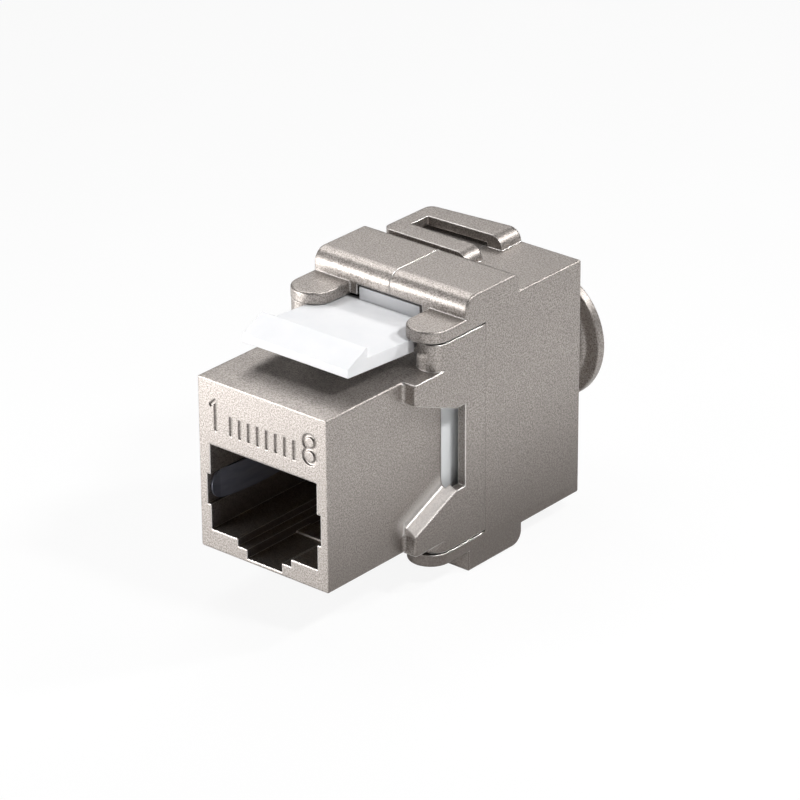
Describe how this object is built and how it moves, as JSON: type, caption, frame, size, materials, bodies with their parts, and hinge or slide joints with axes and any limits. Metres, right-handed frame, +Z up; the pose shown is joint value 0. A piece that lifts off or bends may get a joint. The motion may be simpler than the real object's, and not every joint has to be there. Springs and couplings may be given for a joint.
{
  "type": "keystone jack",
  "caption": "Shielded keystone jack in a die-cast shell: plug port in front, white panel latch on top, hinged rear doors that close on a round cable collar.",
  "frame": {"origin": "centre of the front face of the block that goes through the panel", "axes": "+X right seen from the front, +Y back to the cable, +Z up to the latch"},
  "size_m": [0.0172, 0.0392, 0.0262],
  "materials": {
    "die_cast": "satin nickel plate on fine-grained die-cast zinc",
    "white_plastic": "smooth white moulding",
    "clear_white_plastic": "smooth natural white moulding",
    "black_plastic": "fine matt",
    "board": "solder-resist lacquer",
    "spring_steel": "bright rolled strip",
    "pin_steel": "drawn wire",
    "gold_contact": "gold plate",
    "tinned_bronze": "tin plate"
  },
  "bodies": {
    "housing": {"front_housing": "die_cast", "right_upper_hinge_pin": "pin_steel", "right_lower_hinge_pin": "pin_steel", "left_upper_hinge_pin": "pin_steel", "left_lower_hinge_pin": "pin_steel", "contact_carrier": "black_plastic", "port_end_plate": "black_plastic", "circuit_board": "board", "terminal_block": "white_plastic", "wire_cap": "clear_white_plastic", "right_shield_spring": "spring_steel", "left_shield_spring": "spring_steel", "contact_wire_1": "gold_contact", "contact_wire_2": "gold_contact", "contact_wire_3": "gold_contact", "contact_wire_4": "gold_contact", "contact_wire_5": "gold_contact", "contact_wire_6": "gold_contact", "contact_wire_7": "gold_contact", "contact_wire_8": "gold_contact", "idc_terminal_1": "tinned_bronze", "idc_terminal_2": "tinned_bronze", "idc_terminal_3": "tinned_bronze", "idc_terminal_4": "tinned_bronze", "idc_terminal_5": "tinned_bronze", "idc_terminal_6": "tinned_bronze", "idc_terminal_7": "tinned_bronze", "idc_terminal_8": "tinned_bronze"},
    "left_door": {"left_door": "die_cast"},
    "right_door": {"right_door": "die_cast"},
    "panel_latch": {"panel_latch": "white_plastic"}
  },
  "joints": [
    {"name": "right_door_hinge", "type": "hinge", "parent": "housing", "child": "right_door", "pos_m": [0.0071, 0.0142, 0], "axis": [0, 0, -1], "range_deg": [0, 90]},
    {"name": "left_door_hinge", "type": "hinge", "parent": "housing", "child": "left_door", "pos_m": [-0.0071, 0.0142, 0], "axis": [0, 0, 1], "range_deg": [0, 90]},
    {"name": "latch_flex", "type": "hinge", "parent": "housing", "child": "panel_latch", "pos_m": [0, 0.01801, 0.00925], "axis": [1, 0, 0], "range_deg": [0, 7], "stiffness_Nm_per_rad": 0.5}
  ],
  "couplings": [
    {"joint": "left_door_hinge", "follows": "right_door_hinge", "ratio": 1}
  ]
}
